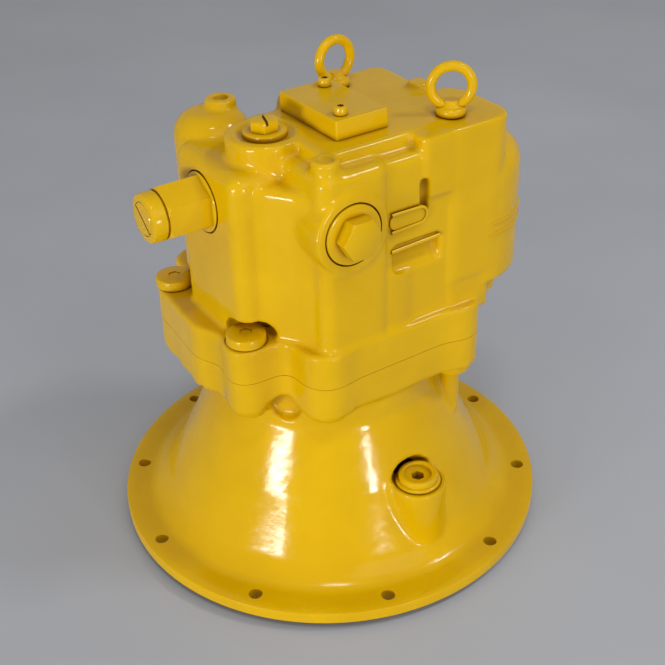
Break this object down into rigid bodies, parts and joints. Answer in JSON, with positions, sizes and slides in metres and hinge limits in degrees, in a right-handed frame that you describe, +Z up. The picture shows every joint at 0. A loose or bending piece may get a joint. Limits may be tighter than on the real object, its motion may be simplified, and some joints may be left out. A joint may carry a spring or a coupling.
{
  "type": "axial piston swing motor",
  "caption": "Axial piston swing motor on a bell-shaped flanged housing, with relief and check valves, lifting eyes, and a tilted-plate rotating group and parking brake inside.",
  "frame": {"origin": "on the shaft's axis, level with the bottom of the pilot spigot", "axes": "+Z up along the shaft's axis; -Y towards the side with the front check valve; -X towards the left relief valve"},
  "size_m": [0.36, 0.36, 0.3913],
  "materials": {
    "yellow_paint": "gloss",
    "machined_steel": "ground",
    "dark_steel": "oiled",
    "bronze": "machined",
    "rubber": "matt",
    "friction_lining": "matt"
  },
  "bodies": {
    "housing": {"bell_housing": "yellow_paint", "valve_casing": "yellow_paint", "casing_o_ring": "rubber", "casing_bolt_1": "yellow_paint", "casing_bolt_2": "yellow_paint", "casing_bolt_3": "yellow_paint", "casing_bolt_4": "yellow_paint", "casing_bolt_5": "yellow_paint", "casing_bolt_6": "yellow_paint", "eyebolt_right": "yellow_paint", "eyebolt_rear": "yellow_paint", "top_cover": "yellow_paint", "cover_screw_1": "yellow_paint", "cover_screw_2": "yellow_paint", "top_plug": "yellow_paint", "drain_plug": "yellow_paint", "swash_plate": "machined_steel", "valve_plate": "bronze", "shaft_seal": "rubber", "front_bearing_outer": "machined_steel", "rear_bearing_outer": "machined_steel", "separator_plate_1": "dark_steel", "separator_plate_2": "dark_steel", "relief_body_left": "yellow_paint", "relief_body_right": "yellow_paint", "check_plug_front": "yellow_paint", "check_plug_rear": "yellow_paint", "brake_spring": "dark_steel", "relief_spring_left": "dark_steel", "relief_spring_right": "dark_steel"},
    "shaft": {"drive_shaft": "machined_steel", "cylinder_block": "machined_steel", "front_bearing_inner": "machined_steel", "ball_guide": "machined_steel", "block_spring": "dark_steel", "friction_plate": "friction_lining"},
    "front_rollers": {"front_bearing_rollers": "machined_steel"},
    "rear_needles": {"rear_bearing_needles": "machined_steel"},
    "retainer": {"retainer_plate": "machined_steel"},
    "slipper_1": {"slipper_1": "bronze"},
    "slipper_2": {"slipper_2": "bronze"},
    "slipper_3": {"slipper_3": "bronze"},
    "slipper_4": {"slipper_4": "bronze"},
    "slipper_5": {"slipper_5": "bronze"},
    "slipper_6": {"slipper_6": "bronze"},
    "slipper_7": {"slipper_7": "bronze"},
    "piston_1": {"piston_1": "machined_steel"},
    "piston_2": {"piston_2": "machined_steel"},
    "piston_3": {"piston_3": "machined_steel"},
    "piston_4": {"piston_4": "machined_steel"},
    "piston_5": {"piston_5": "machined_steel"},
    "piston_6": {"piston_6": "machined_steel"},
    "piston_7": {"piston_7": "machined_steel"},
    "brake_piston": {"brake_piston": "machined_steel"},
    "relief_poppet_left": {"relief_poppet_left": "machined_steel"},
    "relief_screw_left": {"relief_screw_left": "yellow_paint"},
    "relief_poppet_right": {"relief_poppet_right": "machined_steel"},
    "relief_screw_right": {"relief_screw_right": "yellow_paint"},
    "check_poppet_front": {"check_poppet_front": "machined_steel"},
    "check_poppet_rear": {"check_poppet_rear": "machined_steel"}
  },
  "joints": [
    {"name": "shaft_spin", "type": "hinge", "parent": "housing", "child": "shaft", "pos_m": [0, 0, 0], "axis": [0, 0, 1], "continuous": true},
    {"name": "front_rollers_orbit", "type": "hinge", "parent": "housing", "child": "front_rollers", "pos_m": [0, 0, 0], "axis": [0, 0, 1], "continuous": true},
    {"name": "rear_needles_orbit", "type": "hinge", "parent": "housing", "child": "rear_needles", "pos_m": [0, 0, 0], "axis": [0, 0, 1], "continuous": true},
    {"name": "retainer_turn", "type": "hinge", "parent": "housing", "child": "retainer", "pos_m": [0, 0, 0.14598], "axis": [-0.2419, 0, 0.9703], "continuous": true},
    {"name": "slipper_1_turn", "type": "hinge", "parent": "retainer", "child": "slipper_1", "pos_m": [0.04531, 0, 0.15727], "axis": [-0.2419, 0, 0.9703], "continuous": true},
    {"name": "piston_1_swivel", "type": "hinge", "parent": "slipper_1", "child": "piston_1", "pos_m": [0.04531, 0, 0.15727], "axis": [0, 0, 1], "continuous": true},
    {"name": "slipper_2_turn", "type": "hinge", "parent": "retainer", "child": "slipper_2", "pos_m": [0.02825, 0.03651, 0.15302], "axis": [-0.2419, 0, 0.9703], "continuous": true},
    {"name": "piston_2_swivel", "type": "hinge", "parent": "slipper_2", "child": "piston_2", "pos_m": [0.02825, 0.03651, 0.15302], "axis": [0, 0, 1], "continuous": true},
    {"name": "slipper_3_turn", "type": "hinge", "parent": "retainer", "child": "slipper_3", "pos_m": [-0.01008, 0.04552, 0.14346], "axis": [-0.2419, 0, 0.9703], "continuous": true},
    {"name": "piston_3_swivel", "type": "hinge", "parent": "slipper_3", "child": "piston_3", "pos_m": [-0.01008, 0.04552, 0.14346], "axis": [0, 0, 1], "continuous": true},
    {"name": "slipper_4_turn", "type": "hinge", "parent": "retainer", "child": "slipper_4", "pos_m": [-0.04082, 0.02026, 0.1358], "axis": [-0.2419, 0, 0.9703], "continuous": true},
    {"name": "piston_4_swivel", "type": "hinge", "parent": "slipper_4", "child": "piston_4", "pos_m": [-0.04082, 0.02026, 0.1358], "axis": [0, 0, 1], "continuous": true},
    {"name": "slipper_5_turn", "type": "hinge", "parent": "retainer", "child": "slipper_5", "pos_m": [-0.04082, -0.02026, 0.1358], "axis": [-0.2419, 0, 0.9703], "continuous": true},
    {"name": "piston_5_swivel", "type": "hinge", "parent": "slipper_5", "child": "piston_5", "pos_m": [-0.04082, -0.02026, 0.1358], "axis": [0, 0, 1], "continuous": true},
    {"name": "slipper_6_turn", "type": "hinge", "parent": "retainer", "child": "slipper_6", "pos_m": [-0.01008, -0.04552, 0.14346], "axis": [-0.2419, 0, 0.9703], "continuous": true},
    {"name": "piston_6_swivel", "type": "hinge", "parent": "slipper_6", "child": "piston_6", "pos_m": [-0.01008, -0.04552, 0.14346], "axis": [0, 0, 1], "continuous": true},
    {"name": "slipper_7_turn", "type": "hinge", "parent": "retainer", "child": "slipper_7", "pos_m": [0.02825, -0.03651, 0.15302], "axis": [-0.2419, 0, 0.9703], "continuous": true},
    {"name": "piston_7_swivel", "type": "hinge", "parent": "slipper_7", "child": "piston_7", "pos_m": [0.02825, -0.03651, 0.15302], "axis": [0, 0, 1], "continuous": true},
    {"name": "brake_release", "type": "slide", "parent": "housing", "child": "brake_piston", "axis": [0, 0, 1], "range_m": [0, 0.003], "stiffness_N_per_m": 20000, "springref_m": -0.001, "deforming": ["brake_spring"]},
    {"name": "relief_left_lift", "type": "slide", "parent": "housing", "child": "relief_poppet_left", "axis": [-1, 0, 0], "range_m": [0, 0.002], "stiffness_N_per_m": 2000, "springref_m": -0.001, "deforming": ["relief_spring_left"]},
    {"name": "relief_left_adjust", "type": "hinge", "parent": "housing", "child": "relief_screw_left", "pos_m": [-0.1, 0.002, 0.304], "axis": [-1, 0, 0], "range_deg": [-180, 180]},
    {"name": "relief_right_lift", "type": "slide", "parent": "housing", "child": "relief_poppet_right", "axis": [1, 0, 0], "range_m": [0, 0.002], "stiffness_N_per_m": 2000, "springref_m": -0.001, "deforming": ["relief_spring_right"]},
    {"name": "relief_right_adjust", "type": "hinge", "parent": "housing", "child": "relief_screw_right", "pos_m": [0.1, 0.018, 0.304], "axis": [1, 0, 0], "range_deg": [-180, 180]},
    {"name": "check_front_lift", "type": "slide", "parent": "housing", "child": "check_poppet_front", "axis": [0, -1, 0], "range_m": [0, 0.004], "stiffness_N_per_m": 400, "springref_m": -0.002},
    {"name": "check_rear_lift", "type": "slide", "parent": "housing", "child": "check_poppet_rear", "axis": [0, 1, 0], "range_m": [0, 0.004], "stiffness_N_per_m": 400, "springref_m": -0.002}
  ],
  "couplings": [
    {"joint": "front_rollers_orbit", "follows": "shaft_spin", "ratio": 0.4377},
    {"joint": "rear_needles_orbit", "follows": "shaft_spin", "ratio": 0.4147},
    {"joint": "retainer_turn", "follows": "shaft_spin", "ratio": 1},
    {"joint": "slipper_1_turn", "follows": "shaft_spin", "ratio": -1},
    {"joint": "piston_1_swivel", "follows": "shaft_spin", "ratio": 1},
    {"joint": "slipper_2_turn", "follows": "shaft_spin", "ratio": -1},
    {"joint": "piston_2_swivel", "follows": "shaft_spin", "ratio": 1},
    {"joint": "slipper_3_turn", "follows": "shaft_spin", "ratio": -1},
    {"joint": "piston_3_swivel", "follows": "shaft_spin", "ratio": 1},
    {"joint": "slipper_4_turn", "follows": "shaft_spin", "ratio": -1},
    {"joint": "piston_4_swivel", "follows": "shaft_spin", "ratio": 1},
    {"joint": "slipper_5_turn", "follows": "shaft_spin", "ratio": -1},
    {"joint": "piston_5_swivel", "follows": "shaft_spin", "ratio": 1},
    {"joint": "slipper_6_turn", "follows": "shaft_spin", "ratio": -1},
    {"joint": "piston_6_swivel", "follows": "shaft_spin", "ratio": 1},
    {"joint": "slipper_7_turn", "follows": "shaft_spin", "ratio": -1},
    {"joint": "piston_7_swivel", "follows": "shaft_spin", "ratio": 1}
  ]
}
